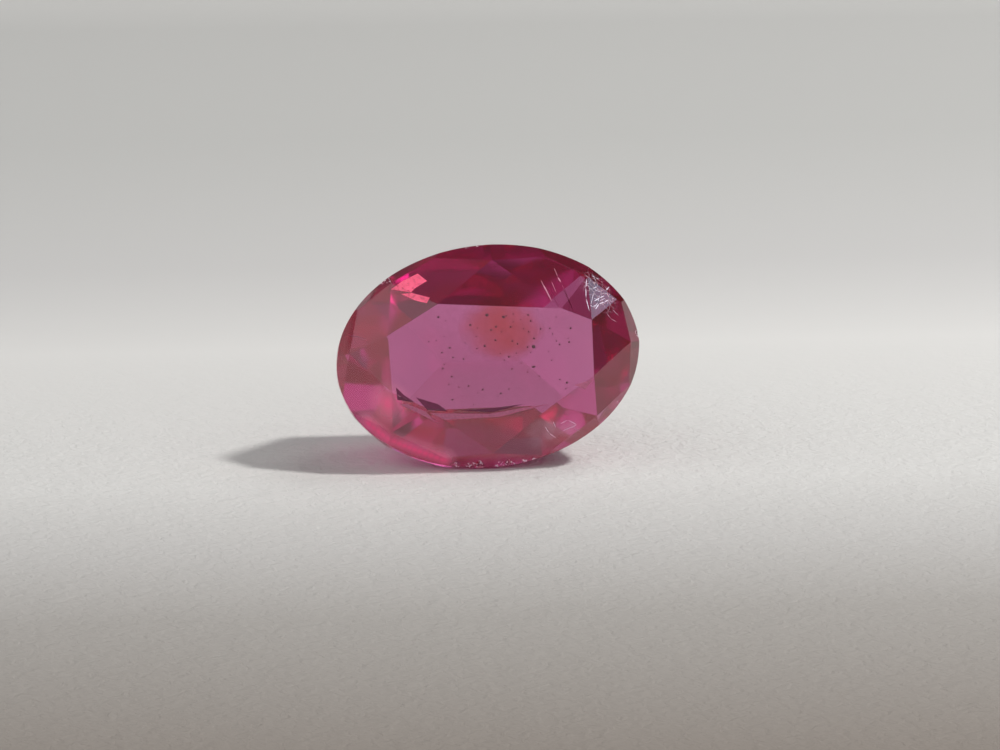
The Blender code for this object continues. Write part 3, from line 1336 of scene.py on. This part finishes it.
@dataclass
class Studio:
    """Pale paper that curves up behind the stone, a small soft key light and dim panels, and the camera.

    Attributes:
        panels: The lights.
        room: The dim room's light by height: the sky's height from 0 to 1, and the light.
        room_depth: The same from the viewer's side, 0, to behind the stone, 1.
        room_sides: The same from the left, 0, to the right, 1.
        bounces: How often light may bounce; a cut stone needs many.
        mirror_bounces: How often it may be mirrored.
        brightest_bounce: Light that bounces is kept below this, against stray bright dots.
        sheet_front: Where the paper starts, in mm towards the viewer.
        half_width: Half the paper's width, in mm.
        bend_start: Where it starts to curve up, in mm behind the stone.
        bend_radius: Radius of the curve, in mm.
        bend_steps: Faces along the curve.
        wall_top: Height of its upper edge, in mm.
        air_gap: Air between the paper and the stone, in mm.
        camera_azimuth: The camera's direction, in degrees to the left of the stone's front.
        camera_elevation: Degrees above the floor.
        camera_distance: Distance from the stone, in mm.
        frame_width: Width that the picture shows at the stone, in mm.
        stone_shift: Where the stone's middle stands right of and above the picture's, in mm.
        sensor_width: Width of the camera's sensor, in mm.
        nearest: The camera sees nothing nearer than this, in metres.
    """

    panels: Sequence[Panel] = (
        Panel("key", -12.0, 50.0, 0.30, 2.6, 250.0, (1.0, 0.985, 0.96)),
        Panel("sky", 8.0, 43.0, 0.25, 5.0, 2.0, (0.5, 0.7, 1.0)),
        Panel("side_glow", -24.0, 38.0, 0.28, 4.0, 4.0),
        Panel("low_glow", -50.0, 12.0, 0.28, 12.0, 0.72),
        Panel("left_glow", -145.0, 66.0, 0.28, 7.0, 0.7),
        Panel("back_glow", 38.0, 51.0, 0.25, 10.0, 3.5),
        Panel("overhead_glow", -95.0, 76.0, 0.30, 3.5, 0.9),
    )
    room: Sequence[Level] = ((0.0, 0.62), (0.72, 0.62), (0.88, 0.08))
    room_depth: Sequence[Level] = ((0.0, 1.0), (0.55, 1.0), (0.75, 0.15))
    room_sides: Sequence[Level] = ((0.0, 1.5), (0.25, 1.3), (0.5, 0.9), (0.75, 0.8), (0.88, 0.25))
    bounces: int = 28
    mirror_bounces: int = 12
    brightest_bounce: float = 4.0
    sheet_front: float = -150.0
    half_width: float = 130.0
    bend_start: float = 13.0
    bend_radius: float = 16.0
    bend_steps: int = 24
    wall_top: float = 19.0
    air_gap: float = 0.015
    camera_azimuth: float = -6.0
    camera_elevation: float = 12.0
    camera_distance: float = 160.0
    frame_width: float = 26.35
    stone_shift: Point = (-0.40, 0.66)
    sensor_width: float = 36.0
    nearest: float = 0.005

    def build(self) -> None:
        """Adds the paper, the lights, the room's dim light and the camera."""
        self.paper()
        for panel in self.panels:
            panel.build()
        scene = bpy.context.scene
        scene.world = self.dim_room()
        scene.view_settings.view_transform = "Standard"
        scene.cycles.max_bounces = self.bounces
        scene.cycles.transmission_bounces = self.bounces
        scene.cycles.glossy_bounces = self.mirror_bounces
        scene.cycles.sample_clamp_indirect = self.brightest_bounce
        self.camera()

    def dim_room(self) -> bpy.types.World:
        """Builds the room's dim light, which differs by height, depth and side.

        Returns:
            The world.
        """
        world = bpy.data.worlds.new("dim_room")
        world.use_nodes = True
        tree = world.node_tree
        place = add_node(tree, "ShaderNodeTexCoord").outputs["Generated"]
        towards = add_node(tree, "ShaderNodeSeparateXYZ", {0: place}).outputs
        depth = map_range(tree, towards["Y"], (-1.0, 0.0), (1.0, 1.0))
        side = map_range(tree, towards["X"], (-1.0, 0.0), (1.0, 1.0))
        light = self.grey_ramp(tree, towards["Z"], self.room)
        for source, levels in ((side, self.room_sides), (depth, self.room_depth)):
            light = vector_maths(tree, "MULTIPLY", light, self.grey_ramp(tree, source, levels))
        tree.links.new(light, tree.nodes["Background"].inputs["Color"])
        return world

    def grey_ramp(self, tree: Tree, source: Socket, levels: Sequence[Level]) -> Socket:
        """Adds a ramp of greys and returns its result."""
        return ramp(tree, source, [(position, grey(value)) for position, value in levels])

    def paper(self) -> bpy.types.Object:
        """Builds the sheet of paper: level, then curved up to a low wall.

        Paper touches a polished face at a few fibres only, so a thin gap of air lies between the two.

        Returns:
            The sheet, facing the stone.
        """
        profile = [(self.sheet_front, 0.0), (self.bend_start, 0.0)]
        for step in range(1, self.bend_steps + 1):
            turn = math.pi / 2 * step / self.bend_steps
            onward = self.bend_radius * math.sin(turn)
            profile.append((self.bend_start + onward, self.bend_radius * (1 - math.cos(turn))))
        profile.append((self.bend_start + self.bend_radius, self.wall_top))
        mesh = bmesh.new()
        rows = []
        for x in (-self.half_width, self.half_width):
            rows.append([mesh.verts.new((x * MM, y * MM, (z - self.air_gap) * MM)) for y, z in profile])
        for k in range(len(profile) - 1):
            mesh.faces.new((rows[0][k], rows[1][k], rows[1][k + 1], rows[0][k + 1]))
        paper = mesh_object("paper", mesh, PaperFinish().build(), smooth=True)
        if paper.data.polygons[0].normal.z < 0:
            paper.data.flip_normals()
        return paper

    def camera(self) -> None:
        """Adds the camera: a long lens at the photographed angle."""
        low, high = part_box("ruby")
        middle = (Vector(low) + Vector(high)) / 2
        azimuth, elevation = math.radians(self.camera_azimuth), math.radians(self.camera_elevation)
        level = math.cos(elevation)
        back = Vector((math.sin(azimuth) * level, -math.cos(azimuth) * level, math.sin(elevation)))
        right = Vector((math.cos(azimuth), math.sin(azimuth), 0.0))
        upward = back.cross(right)
        data = bpy.data.cameras.new("camera")
        data.sensor_width = self.sensor_width
        data.lens = data.sensor_width * self.camera_distance / self.frame_width
        data.clip_start = self.nearest
        camera = bpy.data.objects.new("camera", data)
        bpy.context.scene.collection.objects.link(camera)
        target = middle - right * self.stone_shift[0] * MM - upward * self.stone_shift[1] * MM
        camera.location = target + back * self.camera_distance * MM
        camera.rotation_euler = back.to_track_quat("Z", "Y").to_euler()
        bpy.context.scene.camera = camera


def main() -> None:
    """Builds the stone, its marks and the studio, in that order."""
    logging.basicConfig(level=logging.INFO, format="%(name)s: %(message)s")
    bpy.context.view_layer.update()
    axes = GemAxes.from_record(frame["record"])
    stone = Stone(axes)
    pieces = [stone.build()]
    surface = Surface.of_stone(axes, stone)
    pieces.extend(Specks(axes).build())
    for marks in (Needles(), Scratches(), PAINTED_PINK_REFLECTIONS, PAINTED_DARK_WEDGES, PAINTED_PALE_WEDGES):
        pieces.append(marks.build(surface))
    pieces.append(WarmFilm(axes).build())
    for piece in pieces:
        LOG.info("%s: %d faces", piece.name, len(piece.data.polygons))
    Studio().build()


if __name__ == "__main__":
    main()
